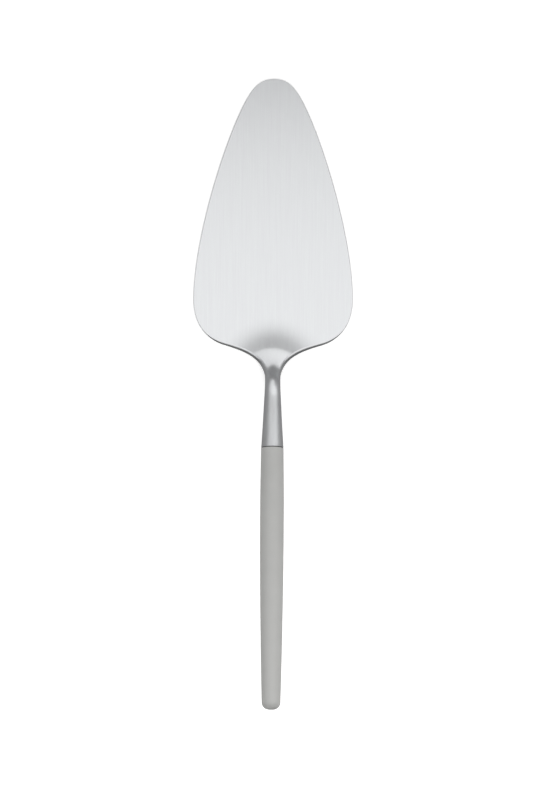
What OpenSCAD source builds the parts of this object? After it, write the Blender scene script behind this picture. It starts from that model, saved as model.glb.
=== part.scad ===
// Cake server: a leaf-shaped steel blade that cranks up to a cone, and a slim round resin handle.
// +Y points to the tip and +Z up. The blade lies on Z = 0, with the origin under the middle of
// the whole length. Distances named _at are measured in plan from the tip towards the handle.

/* [Blade] */
// Width of the blade at its widest point
blade_w = 65.8; // [56:0.2:76]
// Thickness of the blade
blade_t = 1.8; // [1.4:0.1:2.4]
// Distance from the tip to the widest point
flank_l = 91; // [80:0.5:105]
// Length of the rounded tip
tip_l = 13; // [10:0.5:16]
// Width of the blade where the rounded tip ends
tip_w = 27.4; // [24:0.2:31]
// Angle between the flank and the centre line where the rounded tip ends
tip_angle = 25; // [20:1:28]
// Distance from the widest point back to the turn of the shoulder
shoulder_l = 18.5; // [15:0.5:24]
// Width across the two turns of the shoulder
shoulder_w = 43.1; // [38:0.1:48]
// Angle between the outline and the centre line at the turn of the shoulder
shoulder_angle = 68.7; // [64:0.1:74]

/* [Crank] */
// Steepest angle of the crank
crank_angle = 36; // [28:1:42]
// Distance from the turn of the shoulder to the start of the crank
crank_gap = 1.3; // [0:0.1:2]
// Bend radius where the crank leaves the blade
crank_low_r = 20; // [18:0.1:26]
// Bend radius where the crank runs out into the cone
crank_high_r = 16.2; // [11:0.2:19]
// Straight run between the two bends
crank_straight = 2; // [0.5:0.1:4]
// Length over which the blade thickens before the crank lifts off
swell_l = 11; // [7:0.1:15]
// Width of the neck at its narrowest
neck_w = 6.3; // [5.4:0.1:6.6]

/* [Cone] */
// Length of the cone behind the neck
cone_l = 20.5; // [19:0.1:28]
// Diameter of the cone at the neck
cone_front_d = 6.9; // [6.7:0.1:7.6]
// Diameter of the cone at the handle
cone_back_d = 9.2; // [8:0.05:9.6]
// How far the cone's side draws in from a straight taper, at the middle of its length
cone_waist = 0.05; // [0:0.01:0.08]
// Bevel round the back edge of the cone
cone_bevel = 0.1; // [0.05:0.05:0.4]

/* [Handle] */
// Angle at which the cone and the handle rise from the table
handle_tilt = 9; // [5:0.5:12]
// Length of the handle
handle_l = 108.8; // [95:0.1:130]
// Diameter of the handle at the seam
handle_front_d = 9.3; // [8.4:0.1:10]
// Diameter of the handle at its fullest
handle_belly_d = 9.8; // [9:0.1:12]
// Distance from the handle's front to its fullest point
handle_belly_at = 27; // [18:0.5:40]
// Diameter that the handle tapers to at the butt
handle_end_d = 7.75; // [6.8:0.05:8.6]
// Radius round the edge of the butt
butt_r = 2.9; // [1.5:0.1:3.3]

/* [Seam ring] */
// Thickness of the dark ring between the cone and the handle
ring_t = 0.3; // [0.2:0.05:0.8]
// Outer diameter of the ring, a little inside the steel
ring_d = 8.95; // [8:0.05:9.4]

/* [Tang] */
// Diameter of the tang rod
tang_d = 4; // [3:0.1:4.4]
// Length of the tang rod
tang_l = 78; // [60:0.5:86]
// Depth of the socket in the cone
socket_l = 16.5; // [12:0.5:18]
// Number of glue grooves round the tang
groove_count = 4; // [2:1:4]
// Width of a glue groove
groove_w = 1.2; // [0.8:0.1:2]
// Depth of a glue groove
groove_depth = 0.3; // [0.1:0.05:0.5]
// Distance from one glue groove to the next
groove_pitch = 12; // [8:0.5:12]
// Thickness of the adhesive round the tang
glue_t = 0.4; // [0.3:0.05:0.8]
// Length of the adhesive past the end of the tang
glue_end_l = 3; // [1:0.5:6]

/* [Hidden] */
$fn = 64;

// Clearance all round the tang in its socket and in the adhesive, and round the adhesive
fit_gap = 0.01;
// Gap left behind the tang at the bottom of the socket
socket_gap = 0.5;
// Bevel on the ends of the tang and on the handle's front edge
edge_bevel = 0.2;
// How far the neck stays under the skin of the cone that it runs into
neck_step = 0.03;
// How far the neck runs on inside the cone and the leaf, and how far cuts run past a face
overrun = 1;

// Pull of the curves of the outline, as shares of their own lengths and widths
tip_front_share = 0.38;
tip_back_share = 0.93;
flank_front_share = 0.25;
flank_back_share = 0.3;
shoulder_front_share = 0.73;
shoulder_back_share = 0.225;
throat_front_share = 0.224;
throat_back_share = 0.714;
// Place of the narrowest point of the neck, between the shoulder's turn and the cone
neck_share = 0.64;
// Where the section starts to turn from flat to round, and where it is round, between the same two
round_start_share = 0.25;
round_end_share = 0.75;
// How tightly the rings bend round the neck, as a share of arcs that are centred on it
fan_share = 1.25;
// Size of the nub that keys the shoulders into the leaf, as a share of the section there
nub_share = 0.5;
// Pull of the handle's profile curves: to the front of its fullest point, and behind it, where
// a third of the run makes the taper a plain parabola
front_share = 0.45;
belly_front_share = 0.5;
taper_share = 1 / 3;

// Steps along and round the curved surfaces
curve_steps = 24;
shoulder_steps = 12;
neck_steps = 9;
ring_steps = 14;
cone_steps = 6;
butt_steps = 10;

// Slope of the cone's side at its front, and places along the centre line, from the tip
cone_half_angle = atan(((cone_back_d - cone_front_d) / 2 - 4 * cone_waist) / cone_l);
leave_angle = handle_tilt - cone_half_angle;
crank_at = flank_l + shoulder_l;
bend_at = crank_at + crank_gap;
swell_at = crank_at - swell_l;
straight_at = bend_at + crank_low_r * sin(crank_angle);
high_at = straight_at + crank_straight * cos(crank_angle);
cone_at = high_at + crank_high_r * (sin(crank_angle) - sin(leave_angle));
neck_at = mix(crank_at, cone_at, neck_share);
round_at = mix(crank_at, cone_at, round_start_share);
round_end = mix(crank_at, cone_at, round_end_share);

// Places along the sloping axis, from the front of the cone
ring_at = cone_l;
handle_at = ring_at + ring_t;
tang_at = cone_l - socket_l + socket_gap;
tang_end = tang_at + tang_l;
bore_end = tang_end + glue_end_l;
bore_r = tang_d / 2 + glue_t;
butt_flat_r = handle_end_d / 2 - butt_r;

// Length of the whole server in plan, down to the low edge of the sloping butt
axis_l = (handle_at + handle_l - butt_r) * cos(handle_tilt);
total_l = cone_at + axis_l + butt_flat_r * sin(handle_tilt) + butt_r;
tip_y = total_l / 2;

function mix(a, b, share) = a + (b - a) * share;
function clamp(v) = max(0, min(1, v));
function smooth(v) = clamp(v) * clamp(v) * (3 - 2 * clamp(v));

// A point at share t of a curve that starts at a, leaves towards b, and arrives at d from c
function cubic(a, b, c, d, t) =
    a * pow(1 - t, 3) + b * 3 * t * pow(1 - t, 2) + c * 3 * t * t * (1 - t) + d * pow(t, 3);
function steps(count) = [for (i = [0 : count]) i / count];

// Outline of the blade as [distance from the tip, half width]
tip_way = [cos(tip_angle), sin(tip_angle)];
tip_side = [tip_l, tip_w / 2];
flank_run = flank_l - tip_l;
widest = [flank_l, blade_w / 2];
shoulder_way = [cos(shoulder_angle), -sin(shoulder_angle)];
shoulder_turn = [crank_at, shoulder_w / 2];
shoulder_drop = (blade_w - shoulder_w) / 2;
throat_drop = (shoulder_w - neck_w) / 2;
neck = [neck_at, neck_w / 2];

function tip_point(t) = cubic(
    [0, 0],
    [0, tip_w / 2 * tip_front_share],
    tip_side - tip_way * tip_l * tip_back_share,
    tip_side,
    t);
function flank_point(t) = cubic(
    tip_side,
    tip_side + tip_way * flank_run * flank_front_share,
    widest - [flank_run * flank_back_share, 0],
    widest,
    t);
function shoulder_point(t) = cubic(
    widest,
    widest + [shoulder_l * shoulder_front_share, 0],
    shoulder_turn - shoulder_way * shoulder_drop * shoulder_back_share,
    shoulder_turn,
    t);
function throat_point(t) = cubic(
    shoulder_turn,
    shoulder_turn + shoulder_way * throat_drop * throat_front_share,
    neck - [(neck_at - crank_at) * throat_back_share, 0],
    neck,
    t);
function neck_point(t) = [
    mix(neck_at, cone_at, t),
    mix(neck_w / 2, cone_front_d / 2 - neck_step, t * t)];

// Side view of the crank at a distance from the tip: its angle, its rise and its half thickness
low_rise = crank_low_r * (1 - cos(crank_angle));
straight_rise = crank_straight * sin(crank_angle);
function bend_angle(at) =
    at <= bend_at ? 0 :
    at < straight_at ? asin((at - bend_at) / crank_low_r) :
    at < high_at ? crank_angle :
    at < cone_at ? asin(sin(crank_angle) - (at - high_at) / crank_high_r) :
    leave_angle;
function rise(at) =
    at < straight_at ? crank_low_r * (1 - cos(bend_angle(at))) :
    at < high_at ? low_rise + (at - straight_at) * tan(crank_angle) :
    low_rise + straight_rise + crank_high_r * (cos(bend_angle(at)) - cos(crank_angle));
function tilt(at) = bend_angle(at) + cone_half_angle * rise(at) / rise(cone_at);

swell_run = cone_at - swell_at;
swell_height = cone_front_d / 2 - neck_step - blade_t / 2;
swell_end_slope = tan(cone_half_angle) * swell_run / swell_height;
function swell(s) = (3 - swell_end_slope) * pow(s, 2) - (2 - swell_end_slope) * pow(s, 3);
function half_t(at) = blade_t / 2 + swell_height * swell(clamp((at - swell_at) / swell_run));
function mid_z(at) = half_t(at) + rise(at);

// How far the middle of a ring lies ahead of its ends, so that the rings are arcs round the neck
function fan(edge) =
    let (ahead = neck_at - edge[0])
    let (spread = pow(edge[1], 2) - pow(neck_w / 2, 2))
    (sqrt(pow(ahead, 2) + 2 * fan_share * spread) - ahead) / 2;
function shoulder_bow(t) = shoulder_point(t)[0] - mix(flank_l, crank_at - fan(shoulder_turn), t);

// One ring round the steel through an edge point of the outline: the top from side to side,
// then the underside back again. It turns from a flat bar with square rims to a round one.
round_angle = 90 * 2 * ring_steps / (2 * ring_steps + 2);
function section(edge, bow) = [
    let (at = edge[0] - bow)
    let (round_part = smooth((at - round_at) / (round_end - round_at)))
    for (side = [1, -1])
        for (s = steps(ring_steps))
            let (u = side * (2 * s - 1))
            let (x = edge[1] * mix(u, sin(round_angle * u), round_part))
            let (n = side * half_t(at) * mix(1, cos(round_angle * u), round_part))
            let (y = tip_y - at - bow * u * u + n * sin(tilt(at)))
            [x, y, mid_z(at) + n * cos(tilt(at))]];

into_cone = overrun * [0, -cos(handle_tilt), sin(handle_tilt)];
first_section = section(shoulder_point(0), 0);
last_section = section(neck_point(1), 0);
rings = [
    [for (p = first_section) [p[0] * nub_share, p[1] + overrun, mix(blade_t / 2, p[2], nub_share)]],
    for (t = steps(shoulder_steps)) section(shoulder_point(t), shoulder_bow(t)),
    for (i = [1 : curve_steps])
        let (edge = throat_point(i / curve_steps))
        section(edge, fan(edge)),
    for (i = [1 : neck_steps]) section(neck_point(i / neck_steps), 0),
    [for (p = last_section) p + into_cone]];

// A closed skin over a list of rings that all have as many points. The end caps are laced from
// the top row of their ring to the bottom row.
module skin(rings) {
    count = len(rings[0]);
    last = len(rings) - 1;
    points = [for (ring = rings) each ring];
    sides = [
        for (j = [0 : last - 1])
            for (i = [0 : count - 1])
                let (a = j * count + i)
                let (b = j * count + (i + 1) % count)
                each [[a, b, b + count], [a, b + count, a + count]]];
    lacing = [
        for (i = [0 : count / 2 - 2])
            let (below = count - 1 - i)
            each [[i, below, below - 1], [i, below - 1, i + 1]]];
    back_lacing = [for (f = lacing) [f[2], f[1], f[0]] + last * count * [1, 1, 1]];
    polyhedron(points, concat(lacing, sides, back_lacing));
}

// Flat leaf of the blade, from the tip to its widest point
module leaf() {
    side = concat(
        [for (t = steps(curve_steps)) tip_point(t)],
        [for (i = [1 : curve_steps]) flank_point(i / curve_steps)]);
    right = [for (p = side) [p[1], tip_y - p[0]]];
    left = [for (i = [len(side) - 1 : -1 : 1]) [-side[i][1], tip_y - side[i][0]]];
    linear_extrude(blade_t)
        polygon(concat(right, left));
}

// Puts what follows on the sloping axis of the cone and the handle
module on_axis(at) {
    translate([0, tip_y - cone_at, mid_z(cone_at)])
        rotate([90 - handle_tilt, 0, 0])
            translate([0, 0, at])
                children();
}

// Side of the cone as [radius, distance from its front]
function cone_point(t) = [
    mix(cone_front_d, cone_back_d, t) / 2 - 4 * cone_waist * t * (1 - t),
    (cone_l - cone_bevel) * t];

module blade() {
    profile = concat(
        [[0, 0]],
        [for (t = steps(cone_steps)) cone_point(t)],
        [[cone_back_d / 2 - cone_bevel, cone_l], [0, cone_l]]);
    color("#d6d8da")
        difference() {
            union() {
                leaf();
                skin(rings);
                on_axis(0)
                    rotate_extrude()
                        polygon(profile);
            }
            on_axis(cone_l - socket_l)
                cylinder(h = socket_l + overrun, r = tang_d / 2 + fit_gap);
        }
}

// Profile of the tang, grown by a gap where it shapes the hollow that it sits in
function tang_profile(gap) =
    let (r = tang_d / 2 + gap)
    let (groove_r = r - groove_depth)
    let (first_at = tang_l - edge_bevel - groove_pitch / 2 - (groove_count - 1) * groove_pitch)
    concat(
        [[0, -gap], [r - edge_bevel, -gap], [r, edge_bevel - gap]],
        [for (i = [0 : groove_count - 1])
            let (at = first_at + i * groove_pitch)
            each [
                [r, at - groove_w / 2 + gap],
                [groove_r, at - groove_w / 2 + gap],
                [groove_r, at + groove_w / 2 - gap],
                [r, at + groove_w / 2 - gap]]],
        [[r, tang_l - edge_bevel + gap], [r - edge_bevel, tang_l + gap], [0, tang_l + gap]]);

module tang() {
    color("#b9bcbf")
        on_axis(tang_at)
            rotate_extrude()
                polygon(tang_profile(0));
}

module seam_ring() {
    color("#3a3b3c")
        on_axis(ring_at)
            difference() {
                cylinder(h = ring_t, r = ring_d / 2);
                translate([0, 0, -overrun])
                    cylinder(h = ring_t + 2 * overrun, r = tang_d / 2 + fit_gap);
            }
}

module adhesive() {
    color("#c9b98a")
        difference() {
            on_axis(handle_at)
                cylinder(h = bore_end - fit_gap - handle_at, r = bore_r - fit_gap);
            on_axis(tang_at)
                rotate_extrude()
                    polygon(tang_profile(fit_gap));
        }
}

// Profile of the handle as [radius, distance from its front]
belly = [handle_belly_d / 2, handle_belly_at];
butt_edge = [handle_end_d / 2, handle_l - butt_r];
butt_drop = (handle_belly_d - handle_end_d) / 2;
butt_run = handle_l - butt_r - handle_belly_at;
front_edge = [handle_front_d / 2, edge_bevel];
function front_point(t) = cubic(
    front_edge,
    mix(front_edge, belly, front_share),
    belly - [0, handle_belly_at * belly_front_share],
    belly,
    t);
function taper_point(t) = cubic(
    belly,
    belly + [0, butt_run] * taper_share,
    butt_edge + [2 * butt_drop, -butt_run] * taper_share,
    butt_edge,
    t);
function butt_point(t) = [butt_flat_r + butt_r * cos(90 * t), handle_l - butt_r + butt_r * sin(90 * t)];

module handle() {
    profile = concat(
        [[0, 0], [handle_front_d / 2 - edge_bevel, 0]],
        [for (t = steps(curve_steps)) front_point(t)],
        [for (i = [1 : curve_steps]) taper_point(i / curve_steps)],
        [for (i = [1 : butt_steps]) butt_point(i / butt_steps)],
        [[0, handle_l]]);
    color("#b4b4b1")
        difference() {
            on_axis(handle_at)
                rotate_extrude()
                    polygon(profile);
            on_axis(handle_at - overrun)
                cylinder(h = bore_end - handle_at + overrun, r = bore_r);
        }
}

blade();
tang();
seam_ring();
adhesive();
handle();
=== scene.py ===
# %% [markdown]
# # A cake server, photographed from straight above
# The server is a forged steel head, bonded to a slim moulded handle. This lesson builds it in
# the order in which a workshop would: first the place where it is photographed, then the steel
# with its brushed finish, then the handle, and last the thin dark ring between them.
# Lengths of the server are written in millimetres, as on a drawing, and turned into metres where
# points are made. The camera, the lamps and the room are given in metres.

# %% Load the frame
import math

import bmesh
import bpy
from mathutils import Euler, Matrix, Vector


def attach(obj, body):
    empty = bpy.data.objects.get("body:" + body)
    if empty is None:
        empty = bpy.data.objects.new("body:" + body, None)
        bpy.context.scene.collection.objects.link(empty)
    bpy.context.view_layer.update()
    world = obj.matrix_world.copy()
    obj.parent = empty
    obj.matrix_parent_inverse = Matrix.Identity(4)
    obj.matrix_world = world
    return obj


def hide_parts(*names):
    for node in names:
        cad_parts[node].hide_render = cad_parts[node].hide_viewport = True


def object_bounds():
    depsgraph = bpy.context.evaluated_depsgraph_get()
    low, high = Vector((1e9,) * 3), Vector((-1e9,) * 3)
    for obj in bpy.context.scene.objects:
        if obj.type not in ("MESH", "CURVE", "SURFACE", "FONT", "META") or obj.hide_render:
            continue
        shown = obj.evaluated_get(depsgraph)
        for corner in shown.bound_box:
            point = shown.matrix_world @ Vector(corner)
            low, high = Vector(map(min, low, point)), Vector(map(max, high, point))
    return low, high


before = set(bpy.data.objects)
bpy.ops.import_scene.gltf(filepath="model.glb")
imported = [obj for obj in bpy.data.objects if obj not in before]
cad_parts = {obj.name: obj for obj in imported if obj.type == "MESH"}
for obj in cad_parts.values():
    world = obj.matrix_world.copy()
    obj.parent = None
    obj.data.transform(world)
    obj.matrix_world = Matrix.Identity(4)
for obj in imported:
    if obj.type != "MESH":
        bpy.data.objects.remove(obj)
cad_low, cad_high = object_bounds()
MM = 0.001
print("frame:", sorted(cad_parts), "length", round((cad_high.y - cad_low.y) / MM, 1), "mm")

# %% [markdown]
# ## Small tools
# Every curve on the server is a cubic with two end points and two handles, the same kind of
# curve that a designer pulls about on screen. A curve object could hold it, but here each row of
# the mesh starts from one point of the curve, so a plain function is simpler. `mix` and `smooth`
# blend one size into another.


# %% Curves and blends
def mix(a, b, share):
    return a + (b - a) * share


def clamp(value):
    return max(0.0, min(1.0, value))


def smooth(value):
    return clamp(value) ** 2 * (3 - 2 * clamp(value))


def cubic(a, b, c, d, t):
    return a * (1 - t) ** 3 + b * 3 * t * (1 - t) ** 2 + c * 3 * t * t * (1 - t) + d * t**3


def sine(degrees):
    return math.sin(math.radians(degrees))


def cosine(degrees):
    return math.cos(math.radians(degrees))


print("a smooth step, in quarters:", [round(smooth(i / 4), 2) for i in range(5)])

# %% [markdown]
# ## Colours and shader nodes
# Colours are picked as sRGB hex values, the way a screen shows them, and a shader works with
# linear light, so one function turns the first into the second, with the numbers of the sRGB
# curve. Another adds any node at all, with its settings and its links.

# %% Colours and nodes
# The places of the colours among the sockets of a Mix node
COLOUR_A, COLOUR_B, COLOUR_OUT = 6, 7, 2


def linear(hex_colour):
    shown = [int(hex_colour[i : i + 2], 16) / 255 for i in (1, 3, 5)]
    return [c / 12.92 if c <= 0.04045 else ((c + 0.055) / 1.055) ** 2.4 for c in shown] + [1.0]


def add(tree, kind, inputs=None, **settings):
    """Adds a shader node, with its settings, and its inputs as values or as links."""
    made = tree.nodes.new(kind)
    for name, value in settings.items():
        setattr(made, name, value)
    for name, value in (inputs or {}).items():
        if isinstance(value, bpy.types.NodeSocket):
            tree.links.new(value, made.inputs[name])
        else:
            made.inputs[name].default_value = value
    return made


def new_material(name):
    material = bpy.data.materials.new(name)
    material.use_nodes = True
    material.node_tree.nodes.clear()
    return material, material.node_tree


print("the screen's mid grey is", round(linear("#808080")[0], 3), "in linear light")

# %% [markdown]
# ## The camera
# The photograph looks straight down, and nothing in it leans, so the lens is long and far away.
# The server lies a third of a degree off the picture's upright, and the camera turns by that
# much instead, so that the server stays square in its own frame. The first and the last row of
# the server in the picture give the scale.

# %% Camera over the server
PHOTO_W = 546
PHOTO_H = 789
PHOTO_TIP_Y = 78.95
PHOTO_BUTT_Y = 709.85
PHOTO_CENTRE_X = 272.6
PHOTO_LEAN = 0.3
CAMERA_HEIGHT = 8.0
BUTT_HEIGHT = 0.030
SENSOR = 36.0

# The butt stands above the table, so it looks a little larger than the tip
nearness = CAMERA_HEIGHT / (CAMERA_HEIGHT - BUTT_HEIGHT)
tip_pixels = PHOTO_H / 2 - PHOTO_TIP_Y
butt_pixels = (PHOTO_BUTT_Y - PHOTO_H / 2) / nearness
pixel = (cad_high.y - cad_low.y) / (tip_pixels + butt_pixels)
camera_y = cad_high.y - tip_pixels * pixel

camera_data = bpy.data.cameras.new("overhead_camera")
camera_data.sensor_fit = "AUTO"
camera_data.sensor_width = SENSOR
camera_data.lens = SENSOR * CAMERA_HEIGHT / (PHOTO_H * pixel)
camera_data.clip_start = 0.5
camera_data.clip_end = 30.0
camera = bpy.data.objects.new("overhead_camera", camera_data)
camera.location = ((PHOTO_W / 2 - PHOTO_CENTRE_X) * pixel, camera_y, CAMERA_HEIGHT)
camera.rotation_euler = (0, 0, math.radians(PHOTO_LEAN))
bpy.context.scene.collection.objects.link(camera)
bpy.context.scene.camera = camera
bpy.context.scene.view_settings.view_transform = "Standard"
print("lens", round(camera_data.lens), "mm, one pixel is", round(pixel / MM, 3), "mm")

# %% [markdown]
# ## The table
# The ground of the photograph is pure white and has no shadow, not even beside the neck. White
# paper under soft light would keep a faint grey halo there. A light table of white acrylic glows
# from below, which fills that halo and also lights the sides of the handle. It is hidden from
# reflections, so the rims and the neck mirror the dark room, as they do in the photograph.

# %% Light table
FLOOR_SIDE = 8.0
FLOOR_DROP = 0.0002
TABLE_GLOW = 0.44

floor_material, tree = new_material("white_acrylic_light_table")
acrylic = add(
    tree,
    "ShaderNodeBsdfPrincipled",
    {
        "Base Color": linear("#f6f6f5"),
        "Roughness": 0.6,
        "Emission Color": linear("#ffffff"),
        "Emission Strength": TABLE_GLOW,
    },
)
add(tree, "ShaderNodeOutputMaterial", {"Surface": acrylic.outputs["BSDF"]})

half = FLOOR_SIDE / 2
corners = [(x * half, y * half, -FLOOR_DROP) for x, y in ((-1, -1), (1, -1), (1, 1), (-1, 1))]
floor_mesh = bpy.data.meshes.new("floor")
floor_mesh.from_pydata(corners, [], [(0, 1, 2, 3)])
floor_mesh.materials.append(floor_material)
floor = bpy.data.objects.new("floor", floor_mesh)
floor.visible_glossy = False
bpy.context.scene.collection.objects.link(floor)
print("light table", FLOOR_SIDE, "m wide, just under the blade")

# %% [markdown]
# ## The light panels
# Steel has hardly any colour of its own: what it shows is the room. So the light is built before
# the steel, as panels whose angles follow from where each bright band lies on it.
# The flat blade mirrors a panel overhead. The dark arc at the root of the crank mirrors the gap
# between that panel and a second one, far beyond the tip. As the crank gets steeper it mirrors
# the second panel from its top to its foot, which is the bright crescent, and then the dark room
# below it. Past the steepest part the foot comes back, as the bright spot before the cone, and
# the cone itself mirrors the top.


# %% Panels
def panel(name, centre, tilt, size, radiance, seen_in_steel=True):
    """A soft panel that shines down, tilted about X. Its power follows from its radiance."""
    data = bpy.data.lights.new(name, "AREA")
    data.shape = "RECTANGLE"
    data.size, data.size_y = size
    data.energy = radiance * math.pi * size[0] * size[1]
    lamp = bpy.data.objects.new(name, data)
    lamp.location = centre
    lamp.rotation_euler = Euler((math.radians(tilt), 0, 0))
    lamp.visible_camera = False
    lamp.visible_glossy = seen_in_steel
    bpy.context.scene.collection.objects.link(lamp)
    print(name, round(size[0], 2), "x", round(size[1], 2), "m,", round(data.energy, 2), "W")


def panel_between(name, near_edge, far_edge, left, right, radiance):
    """A panel that faces the table, between two edges given as (y, z) and two ends given as x."""
    run = far_edge[0] - near_edge[0]
    drop = near_edge[1] - far_edge[1]
    middle = ((near_edge[0] + far_edge[0]) / 2, (near_edge[1] + far_edge[1]) / 2)
    size = (right - left, math.hypot(run, drop))
    panel(name, ((left + right) / 2, *middle), -math.degrees(math.atan2(drop, run)), size, radiance)


# %% [markdown]
# The overhead panel ends in a strip that is a little weaker, so the blade dims before the crank.
# The far panel is made of parts. Those on the left are weaker, because the left leg of the dark
# arc is wider than the right one, and the foot is narrow and strong, for the small bright spot.
# Lamps in one plane must not overlap, because a mirrored ray then counts only one of them, so
# the parts lie edge to edge.

# %% Panels over the blade and beyond the tip
OVERHEAD_Z = 0.46
OVERHEAD_BACK_Y = -0.25
OVERHEAD_STRIP_Y = 0.075
OVERHEAD_FRONT_Y = 0.146
OVERHEAD_LEFT = -0.58
OVERHEAD_RIGHT = 0.82
FAR_TOP = Vector((0.802, 1.68))
FAR_FOOT = Vector((1.76, 0.68))


def far_panel(name, start, end, left, right, radiance):
    """A part of the far panel, between two shares of the way from its top to its foot."""
    near_edge = FAR_TOP.lerp(FAR_FOOT, start)
    far_edge = FAR_TOP.lerp(FAR_FOOT, end)
    panel_between(name, near_edge, far_edge, left, right, radiance)


panel_between(
    "overhead_panel",
    near_edge=(OVERHEAD_BACK_Y, OVERHEAD_Z),
    far_edge=(OVERHEAD_STRIP_Y, OVERHEAD_Z),
    left=OVERHEAD_LEFT,
    right=OVERHEAD_RIGHT,
    radiance=0.94,
)
panel_between(
    "overhead_panel_edge",
    near_edge=(OVERHEAD_STRIP_Y, OVERHEAD_Z),
    far_edge=(OVERHEAD_FRONT_Y, OVERHEAD_Z),
    left=OVERHEAD_LEFT,
    right=OVERHEAD_RIGHT,
    radiance=0.89,
)
far_panel("far_panel_top", start=-0.02, end=0.10, left=-1.9, right=2.4, radiance=0.87)
far_panel("far_panel_upper_left", start=0.10, end=0.34, left=-1.5, right=-0.42, radiance=0.48)
far_panel("far_panel_upper_right", start=0.10, end=0.34, left=-0.42, right=2.5, radiance=0.91)
far_panel("far_panel_lower_left", start=0.34, end=0.87, left=-1.5, right=-0.1, radiance=0.75)
far_panel("far_panel_lower_right", start=0.34, end=0.87, left=-0.1, right=2.7, radiance=0.96)
far_panel("far_panel_foot", start=0.87, end=1.06, left=-0.85, right=0.60, radiance=1.08)

# %% [markdown]
# The handle gets lighter towards its butt. A small fill light hangs over it for that, and it is
# kept out of reflections, because the steel shows no trace of it.

# %% Fill light
FILL_CENTRE = (0.08, -0.17, 0.25)
FILL_SIZE = (0.4, 0.3)
FILL_RADIANCE = 0.82

panel("fill_over_handle", FILL_CENTRE, 0, FILL_SIZE, FILL_RADIANCE, seen_in_steel=False)

# %% [markdown]
# ## The room
# Whatever mirrors no panel mirrors the room: the dark arc, the steepest part of the crank, the
# rims and the sides of the neck. A picture of a studio could be wrapped round the server, but a
# plain grey that changes with the direction is enough. It is darkest towards the handle's end,
# and also dims beyond the tip. The camera sees a white backdrop instead.

# %% Room
ROOM_GREY = 0.30
DARK_GREY = 0.17
DARK_FROM, DARK_FULL = -0.1, -0.45
AHEAD_GREY = 0.26
AHEAD_FROM, AHEAD_FULL = 0.5, 0.85
BACKDROP_GREY = 0.90

world = bpy.data.worlds.new("studio")
world.use_nodes = True
world.node_tree.nodes.clear()
tree = world.node_tree
around = add(tree, "ShaderNodeTexCoord")
way = add(tree, "ShaderNodeSeparateXYZ", {"Vector": around.outputs["Generated"]})
behind = add(
    tree,
    "ShaderNodeMapRange",
    {
        "Value": way.outputs["Y"],
        "From Min": DARK_FROM,
        "From Max": DARK_FULL,
        "To Min": ROOM_GREY,
        "To Max": DARK_GREY,
    },
    interpolation_type="SMOOTHSTEP",
)
ahead = add(
    tree,
    "ShaderNodeMapRange",
    {
        "Value": way.outputs["Y"],
        "From Min": AHEAD_FROM,
        "From Max": AHEAD_FULL,
        "To Min": behind.outputs[0],
        "To Max": AHEAD_GREY,
    },
    interpolation_type="SMOOTHSTEP",
)
room = add(tree, "ShaderNodeBackground", {"Color": linear("#ffffff"), "Strength": ahead.outputs[0]})
backdrop = add(tree, "ShaderNodeBackground", {"Color": [BACKDROP_GREY] * 3 + [1]})
path = add(tree, "ShaderNodeLightPath")
chosen = add(
    tree,
    "ShaderNodeMixShader",
    {0: path.outputs["Is Camera Ray"], 1: room.outputs[0], 2: backdrop.outputs[0]},
)
add(tree, "ShaderNodeOutputWorld", {"Surface": chosen.outputs[0]})
bpy.context.scene.world = world
print("room grey", ROOM_GREY, "at the sides,", DARK_GREY, "behind and", AHEAD_GREY, "ahead")

# %% [markdown]
# ## The steel head: its sizes
# Blade, crank and cone are one forging. These are the sizes of the drawing, in millimetres.
# Distances that end in `_AT` run from the tip towards the handle, as seen from above.

# %% Sizes of the steel
BLADE_W = 65.8
BLADE_T = 1.8
FLANK_L = 91.0
TIP_L = 13.0
TIP_W = 27.4
TIP_ANGLE = 25.0
SHOULDER_L = 18.5
SHOULDER_W = 43.1
SHOULDER_ANGLE = 68.7
CRANK_ANGLE = 36.0
CRANK_GAP = 1.3
CRANK_LOW_R = 20.0
CRANK_HIGH_R = 16.2
CRANK_STRAIGHT = 2.0
SWELL_L = 11.0
NECK_W = 6.3
NECK_STEP = 0.03
CONE_L = 20.5
CONE_FRONT_D = 6.9
CONE_BACK_D = 9.2
CONE_WAIST = 0.05
CONE_BEVEL = 0.1
HANDLE_TILT = 9.0
TANG_D = 4.0
SOCKET_L = 16.5
TIP_Y = cad_high.y / MM
print("blade", BLADE_W, "mm wide and", BLADE_T, "mm thick, its tip at", round(TIP_Y, 2), "mm")

# %% [markdown]
# The places along the crank follow from those sizes. The neck is narrowest about two thirds of
# the way from the end of the shoulders to the cone, and on the same stretch the flat bar turns
# into a round one.

# %% Places along the steel
NECK_SHARE = 0.64
ROUND_START_SHARE = 0.25
ROUND_END_SHARE = 0.75

cone_flare = (CONE_BACK_D - CONE_FRONT_D) / 2 - 4 * CONE_WAIST
CONE_HALF_ANGLE = math.degrees(math.atan(cone_flare / CONE_L))
LEAVE_ANGLE = HANDLE_TILT - CONE_HALF_ANGLE
CRANK_AT = FLANK_L + SHOULDER_L
SWELL_AT = CRANK_AT - SWELL_L
BEND_AT = CRANK_AT + CRANK_GAP
STRAIGHT_AT = BEND_AT + CRANK_LOW_R * sine(CRANK_ANGLE)
HIGH_AT = STRAIGHT_AT + CRANK_STRAIGHT * cosine(CRANK_ANGLE)
CONE_AT = HIGH_AT + CRANK_HIGH_R * (sine(CRANK_ANGLE) - sine(LEAVE_ANGLE))
NECK_AT = mix(CRANK_AT, CONE_AT, NECK_SHARE)
ROUND_AT = mix(CRANK_AT, CONE_AT, ROUND_START_SHARE)
ROUND_END = mix(CRANK_AT, CONE_AT, ROUND_END_SHARE)
print("crank from", round(CRANK_AT, 1), "to", round(CONE_AT, 1), "mm behind the tip")

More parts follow.
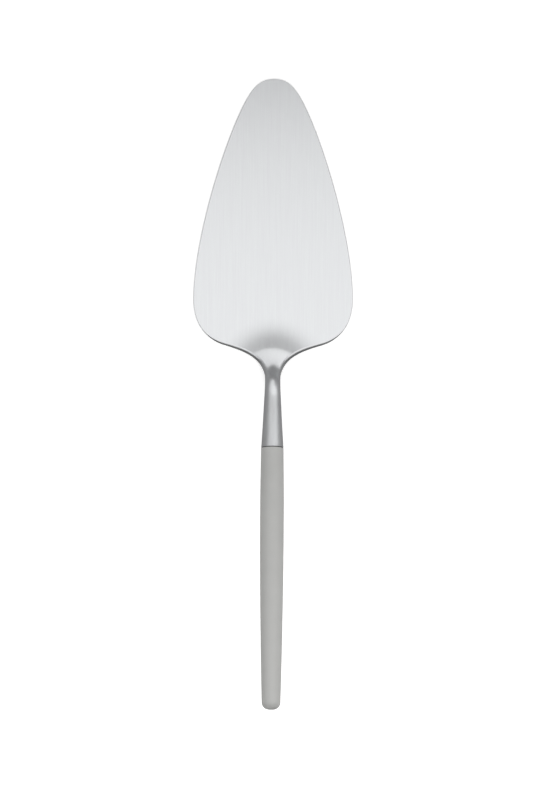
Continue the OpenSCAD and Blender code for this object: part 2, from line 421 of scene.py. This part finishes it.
# %% [markdown]
# ## The outline of the blade
# Four cubics run from the tip to the neck: the rounded tip, the long flank, the shoulder and the
# throat. Each point is (distance from the tip, half width). Where two curves meet they share one
# direction, so no corner shows.

# %% Curves of the outline
# How far the handles of each curve reach, as shares of the length or drop that it covers
TIP_START_PULL, TIP_END_PULL = 0.38, 0.93
FLANK_START_PULL, FLANK_END_PULL = 0.25, 0.3
SHOULDER_START_PULL, SHOULDER_END_PULL = 0.73, 0.225
THROAT_START_PULL, THROAT_END_PULL = 0.224, 0.714

widest = Vector((FLANK_L, BLADE_W / 2))
tip_side = Vector((TIP_L, TIP_W / 2))
tip_way = Vector((cosine(TIP_ANGLE), sine(TIP_ANGLE)))
turn = Vector((CRANK_AT, SHOULDER_W / 2))
turn_way = Vector((cosine(SHOULDER_ANGLE), -sine(SHOULDER_ANGLE)))
neck = Vector((NECK_AT, NECK_W / 2))
cone_start = Vector((CONE_AT, CONE_FRONT_D / 2))
flank_run = FLANK_L - TIP_L
shoulder_drop = (BLADE_W - SHOULDER_W) / 2
throat_run = NECK_AT - CRANK_AT
throat_drop = (SHOULDER_W - NECK_W) / 2

tip_curve = (
    Vector((0, 0)),
    Vector((0, TIP_W / 2 * TIP_START_PULL)),
    tip_side - tip_way * TIP_L * TIP_END_PULL,
    tip_side,
)
flank_curve = (
    tip_side,
    tip_side + tip_way * flank_run * FLANK_START_PULL,
    widest - Vector((flank_run * FLANK_END_PULL, 0)),
    widest,
)
shoulder_curve = (
    widest,
    widest + Vector((SHOULDER_L * SHOULDER_START_PULL, 0)),
    turn - turn_way * shoulder_drop * SHOULDER_END_PULL,
    turn,
)
throat_curve = (
    turn,
    turn + turn_way * throat_drop * THROAT_START_PULL,
    neck - Vector((throat_run * THROAT_END_PULL, 0)),
    neck,
)
print("the flank runs from", TIP_L, "to", FLANK_L, "mm behind the tip")

# %% [markdown]
# ## Where the rows cross the blade
# Rows of points go across the blade, one for each point of the outline, and more of them where
# it turns quickly. Straight rows would meet the throat's rim at a slant. So from the shoulder on
# they bow towards the tip, like arcs round the neck. `bows` says how far the ends of a row lie
# behind its middle.

# %% Rows of the outline
TIP_STEPS = 18
FLANK_STEPS = 30
SHOULDER_STEPS = 28
THROAT_STEPS = 56
NECK_STEPS = 22
# How strongly the rows bow
FAN_PULL = 1.25


def fan(edge):
    """How far the middle of a row lies ahead of its ends, where the rows are arcs round the neck."""
    ahead = NECK_AT - edge.x
    spread = edge.y**2 - (NECK_W / 2) ** 2
    return (math.sqrt(ahead**2 + 2 * FAN_PULL * spread) - ahead) / 2


edges = [cubic(*tip_curve, i / TIP_STEPS) for i in range(TIP_STEPS)]
edges += [cubic(*flank_curve, i / FLANK_STEPS) for i in range(FLANK_STEPS)]
bows = [0.0] * len(edges)
for i in range(SHOULDER_STEPS):
    edges.append(cubic(*shoulder_curve, i / SHOULDER_STEPS))
    bows.append(edges[-1].x - mix(FLANK_L, CRANK_AT - fan(turn), i / SHOULDER_STEPS))
for i in range(THROAT_STEPS):
    edges.append(cubic(*throat_curve, i / THROAT_STEPS))
    bows.append(fan(edges[-1]))
for i in range(NECK_STEPS + 1):
    t = i / NECK_STEPS
    edges.append(Vector((mix(NECK_AT, CONE_AT, t), mix(neck.y, cone_start.y, t * t))))
    bows.append(0.0)
print("rows across the steel:", len(edges), "and the deepest bow is", round(max(bows), 1), "mm")

# %% [markdown]
# ## The side view of the crank
# Seen from the side, the steel leaves the table in a wide bend, climbs steeply and turns back in
# a tighter bend to the slope of the handle. It also swells from 1.8 mm of blade to the round
# neck. The slopes decide which panel each row mirrors, so they were matched to the bright and
# dark bands of the photograph.


# %% Crank in side view
def bend_angle(at):
    if at <= BEND_AT:
        return 0.0
    if at < STRAIGHT_AT:
        return math.degrees(math.asin((at - BEND_AT) / CRANK_LOW_R))
    if at < HIGH_AT:
        return CRANK_ANGLE
    if at < CONE_AT:
        return math.degrees(math.asin(sine(CRANK_ANGLE) - (at - HIGH_AT) / CRANK_HIGH_R))
    return LEAVE_ANGLE


def rise(at):
    if at < STRAIGHT_AT:
        return CRANK_LOW_R * (1 - cosine(bend_angle(at)))
    low_rise = CRANK_LOW_R * (1 - cosine(CRANK_ANGLE))
    if at < HIGH_AT:
        return low_rise + (at - STRAIGHT_AT) * math.tan(math.radians(CRANK_ANGLE))
    straight_rise = CRANK_STRAIGHT * sine(CRANK_ANGLE)
    return low_rise + straight_rise + CRANK_HIGH_R * (cosine(bend_angle(at)) - cosine(CRANK_ANGLE))


def tilt(at):
    return bend_angle(at) + CONE_HALF_ANGLE * rise(at) / rise(CONE_AT)


def half_thickness(at):
    run = CONE_AT - SWELL_AT
    height = (CONE_FRONT_D - BLADE_T) / 2 - NECK_STEP
    end_slope = math.tan(math.radians(CONE_HALF_ANGLE)) * run / height
    share = clamp((at - SWELL_AT) / run)
    # A cubic that starts level, like the blade, and ends at the slope of the cone
    swell = (3 - end_slope) * share**2 - (2 - end_slope) * share**3
    return BLADE_T / 2 + height * swell


def mid_height(at):
    return half_thickness(at) + rise(at)


print("crank rises", round(rise(CONE_AT), 1), "mm")

# %% [markdown]
# ## Rows round the steel
# A row goes once round the steel: over the top, round one rim, back underneath and up the other
# rim. On the blade it is a flat bar with a rounded rim, set square to the outline. The rim is
# almost sharp at the tip, a little softer on the flanks, and fully rounded in the throat. A bevel
# modifier would give one width all round, so the rim's points are worked out here instead. The
# last column before the rim sits close to it, which keeps the shading of the flat face flat.

# %% Points of a flat bar
TIP_RIM = 0.1
FINE_RIM = 0.25
FULL_RIM = 1.5
RIM_GROWS_AT = 103.0
RIM_GROWTH_L = 12.0
RIM_SUPPORT = 0.1
SMALLEST_REACH = 1.0
FLAT_COLUMNS = 12
RIM_COLUMNS = 9
COLUMNS = FLAT_COLUMNS + RIM_COLUMNS


def outward(i):
    """Direction out of the outline at row i, seen from above."""
    if i == 0:
        return Vector((-1, 0))
    before, after = edges[i - 1], edges[min(i + 1, len(edges) - 1)]
    way = (after - before).normalized()
    return Vector((-way.y, way.x))


def rim_radius(i):
    fine = mix(TIP_RIM, FINE_RIM, smooth(edges[i].x / TIP_L))
    return mix(fine, FULL_RIM, smooth((edges[i].x - RIM_GROWS_AT) / RIM_GROWTH_L))


def bar_point(i, column):
    """(across, distance from the tip, height share) on a flat bar, from its middle to its rim."""
    out, rim = outward(i), rim_radius(i)
    if column > FLAT_COLUMNS:
        angle = 90 * (column - FLAT_COLUMNS) / RIM_COLUMNS
        inset = rim * (1 - sine(angle))
        height = 1 - min(1, rim / half_thickness(edges[i].x - bows[i])) * (1 - cosine(angle))
        return edges[i].y - out.y * inset, edges[i].x - out.x * inset, height if angle < 90 else 0.0
    reach = edges[i].y - out.y * rim
    share = 1.0
    if column < FLAT_COLUMNS:
        share = column / (FLAT_COLUMNS - 1) * (1 - RIM_SUPPORT / max(reach, SMALLEST_REACH))
    return reach * share, edges[i].x - bows[i] * (1 - share**2) - out.x * rim * share**2, 1.0


print("rim", TIP_RIM, "mm at the tip and", round(rim_radius(len(edges) - 1), 2), "mm at the neck")

# %% [markdown]
# On the neck a row is a circle. Between the shoulders and the neck the flat bar and the round
# one are mixed, as the smith's hammer does it. Then the row is laid on the side view: each point
# stands off the middle of the steel, square to its slope.


# %% Points of the steel
def round_point(i, column):
    """The same as bar_point, on a round bar."""
    angle = 90 * column / COLUMNS
    share = sine(angle)
    return edges[i].y * share, edges[i].x - bows[i] * (1 - share**2), cosine(angle)


def steel_point(i, column, top):
    """(across, distance from the tip, height above the table) on the steel itself."""
    at = edges[i].x - bows[i]
    roundness = smooth((at - ROUND_AT) / (ROUND_END - ROUND_AT))
    flat, full = bar_point(i, column), round_point(i, column)
    x, along, height = (mix(a, b, roundness) for a, b in zip(flat, full))
    off = (1 if top else -1) * half_thickness(at) * height
    return x, along - off * sine(tilt(at)), mid_height(at) + off * cosine(tilt(at))


def steel_row(i):
    outwards, inwards = range(COLUMNS), range(COLUMNS, 0, -1)
    right = [steel_point(i, c, True) for c in outwards]
    right += [steel_point(i, c, False) for c in inwards]
    left = [steel_point(i, c, False) for c in outwards]
    left += [steel_point(i, c, True) for c in inwards]
    sides = right + [(-x, along, z) for x, along, z in left]
    return [Vector((x, TIP_Y - along, z)) * MM for x, along, z in sides]


print("points in a row:", len(steel_row(0)))

# %% [markdown]
# ## Rings on the sloping axis
# Behind the neck everything is round and lies on one sloping axis: the cone, the dark ring and
# the handle. A list of (distance along the axis, radius) describes each of them, as for a lathe.
# A screw modifier could turn such a profile too, but rings of points can join the steel's rows.

# %% Rings on the axis
AXIS_START = Vector((0, TIP_Y - CONE_AT, mid_height(CONE_AT))) * MM
AXIS_WAY = Vector((0, -cosine(HANDLE_TILT), sine(HANDLE_TILT)))
AXIS_UP = Vector((0, sine(HANDLE_TILT), cosine(HANDLE_TILT)))
# Angles at which a rounded edge starts, in the plane of the profile
FACING_TIP = 180
FACING_OUT = 90


def axis_ring(along, radius, count):
    centre = AXIS_START + AXIS_WAY * along * MM
    angles = [2 * math.pi * i / count for i in range(count)]
    return [centre + (Vector((math.sin(a), 0, 0)) + AXIS_UP * math.cos(a)) * radius * MM for a in angles]


def rounded(corner, radius, start, steps):
    """A quarter round about a centre (along, radius), from angle `start` towards the butt."""
    turns = [math.radians(start - 90 * i / steps) for i in range(steps + 1)]
    return [(corner[0] + radius * math.cos(a), corner[1] + radius * math.sin(a)) for a in turns]


print("the axis starts", round(AXIS_START.z / MM, 1), "mm above the table")

# %% [markdown]
# ## A skin over rows
# Two rows next to each other are joined by a strip of faces, and all the strips make one closed
# skin. The skin also carries a map that tells the metal which way its grain runs. On the flat
# blade the grain runs straight along it, and on the round part it follows the axis, so the map
# eases from the places of the points to the middle of their row.

# %% Skin
GRAIN_MAP_L = 200.0
GRAIN_FOLLOW = 0.87
CREASE_ANGLE = 32
WELD_DISTANCE = 1e-7


def grain_places(rows, flat_rows):
    """Distance along the grain for each point of each row."""
    places = []
    for j, row in enumerate(rows):
        middle = sum((p.y for p in row), 0.0) / len(row)
        follow = GRAIN_FOLLOW * smooth(2 - 2 * j / flat_rows) if flat_rows else 0.0
        places.append([mix(middle, p.y, follow) for p in row])
    return places


def skin(name, rows, materials, closed=False, flat_rows=0):
    """Joins rows of points to a smooth mesh with a grain map. The first rows may be flat ones."""
    count = len(rows[0])
    places = grain_places(rows, flat_rows)
    work = bmesh.new()
    grain = work.loops.layers.uv.new("grain")
    points = [[work.verts.new(p) for p in row] for row in rows]
    last = len(rows) if closed else len(rows) - 1
    for j in range(last):
        for i in range(count):
            i2, j2 = (i + 1) % count, (j + 1) % len(rows)
            face = work.faces.new((points[j][i], points[j][i2], points[j2][i2], points[j2][i]))
            around = ((i, i, j), (i + 1, i2, j), (i + 1, i2, j2), (i, i, j2))
            for corner, (across, column, row) in zip(face.loops, around):
                corner[grain].uv = (across / count, (TIP_Y - places[row][column] / MM) / GRAIN_MAP_L)
    bmesh.ops.remove_doubles(work, verts=work.verts, dist=WELD_DISTANCE)
    bmesh.ops.recalc_face_normals(work, faces=work.faces)
    for face in work.faces:
        face.smooth = True
    for edge in work.edges:
        shared = len(edge.link_faces) == 2
        edge.smooth = shared and edge.calc_face_angle() < math.radians(CREASE_ANGLE)
    open_edges = sum(len(edge.link_faces) != 2 for edge in work.edges)
    mesh = bpy.data.meshes.new(name)
    work.to_mesh(mesh)
    work.free()
    for material in materials:
        mesh.materials.append(material)
    piece = bpy.data.objects.new(name, mesh)
    bpy.context.scene.collection.objects.link(piece)
    print(name, "has", len(mesh.polygons), "faces and", open_edges, "open edges")
    return piece


# %% [markdown]
# ## The polished rim
# Where the shoulders run into the throat, the rim of the steel is dressed and polished after the
# brushing. It is smoother than the brushed face, so it mirrors the dark room as a crisp dark
# line. A second material could do that, but with a hard border. The grain map knows how far
# each point is from the rim and from the tip, so a few nodes can blend the polish in and out.

# %% Share of polish
RIM_START_AT = 101.0
RIM_FULL_AT = 109.0
RIM_FADE_AT = 118.0
RIM_END_AT = 126.0
POLISH_COLUMN = 0.5 * RIM_COLUMNS
BRUSHED_COLUMN = 0.75 * RIM_COLUMNS


def rim_share(tree):
    """1 on the polished rim of the shoulders and the throat, 0 elsewhere."""
    grain_map = add(tree, "ShaderNodeUVMap", uv_map="grain")
    place = add(tree, "ShaderNodeSeparateXYZ", {"Vector": grain_map.outputs["UV"]})

    # The map goes once round the steel, so the rims lie at one quarter and at three quarters of
    # it, and `column` counts the columns from the nearer rim
    twice = add(tree, "ShaderNodeMath", {0: place.outputs["X"], 1: 2.0}, operation="MULTIPLY")
    once = add(tree, "ShaderNodeMath", {0: twice.outputs[0]}, operation="FRACT")
    centred = add(tree, "ShaderNodeMath", {0: once.outputs[0], 1: 0.5}, operation="SUBTRACT")
    side = add(tree, "ShaderNodeMath", {0: centred.outputs[0]}, operation="ABSOLUTE")
    column = add(tree, "ShaderNodeMath", {0: side.outputs[0], 1: 2.0 * COLUMNS}, operation="MULTIPLY")
    at = add(tree, "ShaderNodeMath", {0: place.outputs["Y"], 1: GRAIN_MAP_L}, operation="MULTIPLY")

    share = 1.0
    limits = (
        (at, RIM_START_AT, RIM_FULL_AT),
        (at, RIM_END_AT, RIM_FADE_AT),
        (column, BRUSHED_COLUMN, POLISH_COLUMN),
    )
    for value, none_at, full_at in limits:
        values = {"Value": value.outputs[0], "From Min": none_at, "From Max": full_at}
        ramp = add(tree, "ShaderNodeMapRange", values, interpolation_type="SMOOTHSTEP")
        product = add(tree, "ShaderNodeMath", {0: share, 1: ramp.outputs[0]}, operation="MULTIPLY")
        share = product.outputs[0]
    return share


print("polish from", RIM_START_AT, "to", RIM_END_AT, "mm behind the tip")

# %% [markdown]
# ## Brushed stainless steel
# The head is 18/10 stainless steel, brushed along its length with a fine belt. The belt leaves
# scratches a few hundredths of a millimetre wide and some centimetres long, so the eye sees a
# metal whose soft shine spreads across the scratches: anisotropic, with its tangent laid round
# the piece. A scratch is finer than a pixel here, so the grain is drawn 0.25 mm wide. A second,
# coarser set of streaks about 1 mm wide stands for the passes of the belt. A fine brushed finish
# has a roughness of 0.3 to 0.4, and a metal keeps the default IOR.

# %% Brushed stainless steel
GRAIN_W = 0.25
GRAIN_L = 20.0
STREAK_W = 1.1
STREAK_L = 26.0
BRUSHED_ROUGHNESS = (0.31, 0.36)
POLISHED_ROUGHNESS = 0.2
BRUSHED_ANISOTROPY = 0.82
SCRATCH_DEPTH = 0.02


def along_blade(width, length):
    """Scale that makes a noise as wide and as long as given, in millimetres."""
    return (1 / (width * MM), 1 / (length * MM), 1 / (width * MM))


def brushed_steel():
    material, tree = new_material("brushed_stainless_steel")
    place = add(tree, "ShaderNodeTexCoord").outputs["Object"]
    fine = add(tree, "ShaderNodeMapping", {"Vector": place, "Scale": along_blade(GRAIN_W, GRAIN_L)})
    coarse = add(tree, "ShaderNodeMapping", {"Vector": place, "Scale": along_blade(STREAK_W, STREAK_L)})
    grain = add(tree, "ShaderNodeTexNoise", {"Vector": fine.outputs[0], "Scale": 1.0, "Detail": 3.0})
    streaks = add(tree, "ShaderNodeTexNoise", {"Vector": coarse.outputs[0], "Scale": 1.0, "Detail": 2.0})
    both = add(tree, "ShaderNodeMath", {0: grain.outputs[0], 1: streaks.outputs[0]}, operation="ADD")

    # The sum of two noises stays near 1, and only the few tenths around it are used
    tone = add(tree, "ShaderNodeMapRange", {"Value": both.outputs[0], "From Min": 0.7, "From Max": 1.3})
    colour = add(
        tree,
        "ShaderNodeMix",
        {"Factor": tone.outputs[0], COLOUR_A: linear("#d8d9db"), COLOUR_B: linear("#dddfe0")},
        data_type="RGBA",
    )
    brushed = add(
        tree,
        "ShaderNodeMapRange",
        {
            "Value": both.outputs[0],
            "From Min": 0.6,
            "From Max": 1.4,
            "To Min": BRUSHED_ROUGHNESS[0],
            "To Max": BRUSHED_ROUGHNESS[1],
        },
    )
    gloss = add(
        tree,
        "ShaderNodeMix",
        {"Factor": rim_share(tree), "A": brushed.outputs[0], "B": POLISHED_ROUGHNESS},
    )
    bump = add(
        tree,
        "ShaderNodeBump",
        {"Height": grain.outputs[0], "Strength": 0.12, "Distance": SCRATCH_DEPTH * MM},
    )
    tangent = add(tree, "ShaderNodeTangent", direction_type="UV_MAP", uv_map="grain")
    steel = add(
        tree,
        "ShaderNodeBsdfPrincipled",
        {
            "Base Color": colour.outputs[COLOUR_OUT],
            "Metallic": 1.0,
            "Roughness": gloss.outputs[0],
            "Anisotropic": BRUSHED_ANISOTROPY,
            "Normal": bump.outputs["Normal"],
            "Tangent": tangent.outputs["Tangent"],
        },
    )
    add(tree, "ShaderNodeOutputMaterial", {"Surface": steel.outputs["BSDF"]})
    print(material.name, "with a grain of", GRAIN_W, "by", GRAIN_L, "mm")
    return material


# %% [markdown]
# ## Joining the steel
# The rows of the blade run on into the rings of the cone, so the head is one skin with no seam,
# as it is one forging. The side of the cone draws in by a hair at the middle, which makes it
# brighter towards the handle. It ends in a small bevel and a flat face, with the blind socket
# that holds the tang.

# %% Steel head
CONE_STEPS = 12
BEVEL_STEPS = 4
BEVEL_SUPPORT = 0.08

ring_count = 4 * COLUMNS
front_r = CONE_FRONT_D / 2
back_r = CONE_BACK_D / 2
socket_r = TANG_D / 2
bevel_at = CONE_L - CONE_BEVEL

cone_profile = []
for i in range(1, CONE_STEPS):
    share = i / CONE_STEPS
    waist = CONE_WAIST * 4 * share * (1 - share)
    cone_profile.append((bevel_at * share, mix(front_r, back_r, share) - waist))
cone_profile += [(bevel_at - BEVEL_SUPPORT, back_r), (bevel_at, back_r)]
cone_profile += rounded((bevel_at, back_r - CONE_BEVEL), CONE_BEVEL, FACING_OUT, BEVEL_STEPS)[1:]
cone_profile += [(CONE_L, socket_r), (CONE_L - SOCKET_L, socket_r), (CONE_L - SOCKET_L, 0)]

steel_rows = [steel_row(i) for i in range(len(edges))]
steel_rows += [axis_ring(along, radius, ring_count) for along, radius in cone_profile]
steel_head = skin("steel_head", steel_rows, [brushed_steel()], flat_rows=len(edges))
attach(steel_head, "root")
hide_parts("blade")

# %% [markdown]
# ## The handle
# A slim round grip, moulded in one piece: a little fuller a quarter of the way along, then
# tapering to the butt, whose edge is rounded. The profile is turned round the sloping axis, and
# it includes the blind bore for the tang.

# %% Sizes of the handle
HANDLE_L = 108.8
HANDLE_FRONT_D = 9.3
HANDLE_BELLY_D = 9.8
HANDLE_BELLY_AT = 27.0
HANDLE_END_D = 7.75
BUTT_R = 2.9
EDGE_R = 0.2
RING_T = 0.3
RING_D = 8.95
TANG_L = 78.0
SOCKET_GAP = 0.5
GLUE_T = 0.4
GLUE_END_L = 3.0
HANDLE_AT = CONE_L + RING_T
BORE_END = CONE_L - SOCKET_L + SOCKET_GAP + TANG_L + GLUE_END_L - HANDLE_AT
BORE_R = TANG_D / 2 + GLUE_T
print("handle", HANDLE_L, "mm long, with a bore", round(BORE_END, 1), "mm deep")

# %% [markdown]
# The profile starts at the bottom of the bore, comes out of it and turns over the front edge.
# Two cubics then run over the belly to the butt, and a quarter round closes it.

# %% Profile of the handle
# How far the handles of the front curve reach, as shares of its length
FRONT_PULL = 0.45
BELLY_PULL = 0.5
FRONT_STEPS = 16
TAPER_STEPS = 44
BUTT_STEPS = 14
EDGE_STEPS = 4

belly = Vector((HANDLE_BELLY_AT, HANDLE_BELLY_D / 2))
front_edge = Vector((EDGE_R, HANDLE_FRONT_D / 2))
butt_edge = Vector((HANDLE_L - BUTT_R, HANDLE_END_D / 2))
butt_run = HANDLE_L - BUTT_R - HANDLE_BELLY_AT
butt_drop = (HANDLE_BELLY_D - HANDLE_END_D) / 2
front_curve = (
    front_edge,
    mix(front_edge, belly, FRONT_PULL),
    belly - Vector((HANDLE_BELLY_AT * BELLY_PULL, 0)),
    belly,
)
# The taper is a parabola, so its handles lie a third of the way in from its ends
taper_curve = (
    belly,
    belly + Vector((butt_run / 3, 0)),
    butt_edge + Vector((-butt_run, 2 * butt_drop)) / 3,
    butt_edge,
)

handle_profile = [(BORE_END, 0), (BORE_END, BORE_R), (0, BORE_R)]
handle_profile += rounded((EDGE_R, front_edge.y - EDGE_R), EDGE_R, FACING_TIP, EDGE_STEPS)
handle_profile += [tuple(cubic(*front_curve, i / FRONT_STEPS)) for i in range(1, FRONT_STEPS + 1)]
handle_profile += [tuple(cubic(*taper_curve, i / TAPER_STEPS)) for i in range(1, TAPER_STEPS + 1)]
handle_profile += rounded((butt_edge.x, butt_edge.y - BUTT_R), BUTT_R, FACING_OUT, BUTT_STEPS)[1:]
handle_profile += [(HANDLE_L, 0)]
print("handle is", HANDLE_BELLY_D, "mm at its fullest,", len(handle_profile), "points in its profile")

# %% [markdown]
# ## Matte moulded resin
# The grip is a filled resin, such as POM or ABS, moulded in a mould whose wall was blasted with
# fine grit. That gives the eye an even warm grey with a broad, weak shine. The texture of such a
# wall is about 0.1 mm fine, too fine to show here, so it is drawn 0.3 mm coarse. The filler leaves
# clouds of tone some millimetres wide that hardly show. Such plastics have an IOR near 1.5, and a
# blasted mould gives a roughness of about a half.

# %% Blasted matte resin
BLAST_GRAIN = 0.3
BLAST_DEPTH = 0.02
CLOUD_SIZE = 7.0
RESIN_ROUGHNESS = (0.44, 0.56)
RESIN_IOR = 1.49


def matte_resin():
    material, tree = new_material("blasted_matte_resin")
    place = add(tree, "ShaderNodeTexCoord").outputs["Object"]
    blast_scale, cloud_scale = 1 / (BLAST_GRAIN * MM), 1 / (CLOUD_SIZE * MM)
    blasted = add(tree, "ShaderNodeTexNoise", {"Vector": place, "Scale": blast_scale, "Detail": 2.0})
    clouds = add(tree, "ShaderNodeTexNoise", {"Vector": place, "Scale": cloud_scale, "Detail": 3.0})
    colour = add(
        tree,
        "ShaderNodeMix",
        {"Factor": clouds.outputs[0], COLOUR_A: linear("#a8a8a6"), COLOUR_B: linear("#afafad")},
        data_type="RGBA",
    )
    gloss = add(
        tree,
        "ShaderNodeMapRange",
        {"Value": blasted.outputs[0], "To Min": RESIN_ROUGHNESS[0], "To Max": RESIN_ROUGHNESS[1]},
    )
    bump = add(
        tree,
        "ShaderNodeBump",
        {"Height": blasted.outputs[0], "Strength": 0.25, "Distance": BLAST_DEPTH * MM},
    )
    resin = add(
        tree,
        "ShaderNodeBsdfPrincipled",
        {
            "Base Color": colour.outputs[COLOUR_OUT],
            "Roughness": gloss.outputs[0],
            "IOR": RESIN_IOR,
            "Normal": bump.outputs["Normal"],
        },
    )
    add(tree, "ShaderNodeOutputMaterial", {"Surface": resin.outputs["BSDF"]})
    print(material.name, "with a texture of", BLAST_GRAIN, "mm")
    return material


# %% [markdown]
# The profile is turned into rings on the axis and covered with a skin, as the cone was. Its
# skin lies a hundredth of a millimetre inside the drawing, so that it never reaches past it.

# %% Handle
HANDLE_SIDES = 96
SKIN_INSET = 0.01

handle_rows = []
for along, radius in handle_profile:
    handle_rows.append(axis_ring(HANDLE_AT + along, max(0, radius - SKIN_INSET), HANDLE_SIDES))
handle_grip = skin("handle_grip", handle_rows, [matte_resin()])
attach(handle_grip, "root")
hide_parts("handle")

# %% [markdown]
# ## The dark ring
# A thin ring sits in the joint between the cone and the handle. Its dull near-black is painted
# shade, standing in for the shade in the thin gap of the joint, with a faint random bloom of tone
# on it, at an IOR of 1.52 and a roughness of 0.7. The ring lies a little below both skins, so its
# recess adds real shade as well, and it shows as a fine dark line all round. A line in the colour
# of the handle would do from above, but would have no depth from the side.

# %% Painted gap shade for the dark ring
BLOOM_SIZE = 0.8
RING_ROUGHNESS = 0.7
RING_IOR = 1.52


def painted_gap_shade():
    material, tree = new_material("ring_painted_gap_shade")
    place = add(tree, "ShaderNodeTexCoord").outputs["Object"]
    bloom_scale = 1 / (BLOOM_SIZE * MM)
    bloom = add(tree, "ShaderNodeTexNoise", {"Vector": place, "Scale": bloom_scale, "Detail": 2.0})
    # Painted shade: this near-black stands in for the shade in the thin gap of the joint, with a faint
    # random bloom
    colour = add(
        tree,
        "ShaderNodeMix",
        {"Factor": bloom.outputs[0], COLOUR_A: linear("#2a2b2c"), COLOUR_B: linear("#343536")},
        data_type="RGBA",
    )
    ring_surface = add(
        tree,
        "ShaderNodeBsdfPrincipled",
        {"Base Color": colour.outputs[COLOUR_OUT], "Roughness": RING_ROUGHNESS, "IOR": RING_IOR},
    )
    add(tree, "ShaderNodeOutputMaterial", {"Surface": ring_surface.outputs["BSDF"]})
    print(material.name, "with a bloom of", BLOOM_SIZE, "mm")
    return material


# %% Ring
RING_EDGE = 0.08
RING_EDGE_STEPS = 3

ring_r = RING_D / 2
front_centre = (RING_EDGE, ring_r - RING_EDGE)
back_centre = (RING_T - RING_EDGE, ring_r - RING_EDGE)
ring_profile = [(0, TANG_D / 2)]
ring_profile += rounded(front_centre, RING_EDGE, FACING_TIP, RING_EDGE_STEPS)
ring_profile += rounded(back_centre, RING_EDGE, FACING_OUT, RING_EDGE_STEPS)
ring_profile += [(RING_T, TANG_D / 2)]
ring_rows = [axis_ring(CONE_L + along, radius, HANDLE_SIDES) for along, radius in ring_profile]
# The ring's near-black colour is painted shade for the joint's gap, and its recess adds real shade
gap_shade_ring = skin("gap_shade_ring", ring_rows, [painted_gap_shade()], closed=True)
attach(gap_shade_ring, "root")
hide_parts("seam_ring")

# %% [markdown]
# ## What is hidden inside
# The tang and the adhesive keep their solids from the drawing, because nobody sees them on the
# whole server. They still get a real finish, for anyone who takes the model apart. The tang is a
# turned steel rod, which looks duller than the brushed head. Its tool marks are a tenth of a
# millimetre apart, too fine to show, so they are drawn 0.5 mm coarse.

# %% Turned steel
TURNING_SIZE = 0.5
TURNED_ROUGHNESS = (0.3, 0.45)


def turned_steel():
    material, tree = new_material("turned_steel_rod")
    place = add(tree, "ShaderNodeTexCoord").outputs["Object"]
    mark_scale = 1 / (TURNING_SIZE * MM)
    turning = add(tree, "ShaderNodeTexNoise", {"Vector": place, "Scale": mark_scale, "Detail": 2.0})
    gloss = add(
        tree,
        "ShaderNodeMapRange",
        {"Value": turning.outputs[0], "To Min": TURNED_ROUGHNESS[0], "To Max": TURNED_ROUGHNESS[1]},
    )
    steel = add(
        tree,
        "ShaderNodeBsdfPrincipled",
        {"Base Color": linear("#c3c5c8"), "Metallic": 1.0, "Roughness": gloss.outputs[0]},
    )
    add(tree, "ShaderNodeOutputMaterial", {"Surface": steel.outputs["BSDF"]})
    print(material.name, "with marks of", TURNING_SIZE, "mm")
    return material


# %% [markdown]
# The adhesive is epoxy that was poured and cured. It gives the eye a glassy amber with faint
# clouds some millimetres wide, where the resin and its hardener mixed. Its IOR is about 1.55.

# %% Cured epoxy
EPOXY_CLOUD_SIZE = 3.0
EPOXY_ROUGHNESS = 0.3
EPOXY_IOR = 1.55


def cured_epoxy():
    material, tree = new_material("cured_epoxy")
    place = add(tree, "ShaderNodeTexCoord").outputs["Object"]
    cloud_scale = 1 / (EPOXY_CLOUD_SIZE * MM)
    cloud = add(tree, "ShaderNodeTexNoise", {"Vector": place, "Scale": cloud_scale, "Detail": 2.0})
    colour = add(
        tree,
        "ShaderNodeMix",
        {"Factor": cloud.outputs[0], COLOUR_A: linear("#c9b98a"), COLOUR_B: linear("#d3c69b")},
        data_type="RGBA",
    )
    epoxy = add(
        tree,
        "ShaderNodeBsdfPrincipled",
        {"Base Color": colour.outputs[COLOUR_OUT], "Roughness": EPOXY_ROUGHNESS, "IOR": EPOXY_IOR},
    )
    add(tree, "ShaderNodeOutputMaterial", {"Surface": epoxy.outputs["BSDF"]})
    print(material.name, "with clouds of", EPOXY_CLOUD_SIZE, "mm")
    return material


# %% [markdown]
# Both solids stay as they came from the drawing. Only their finish is laid on, through the slot
# that each already has.

# %% Hidden pieces
for node_name, finish in {"tang": turned_steel(), "adhesive": cured_epoxy()}.items():
    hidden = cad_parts[node_name]
    hidden.data.materials.clear()
    hidden.data.materials.append(finish)
    print(node_name, "is finished in", finish.name)

# %% Update the view layer
bpy.context.view_layer.update()
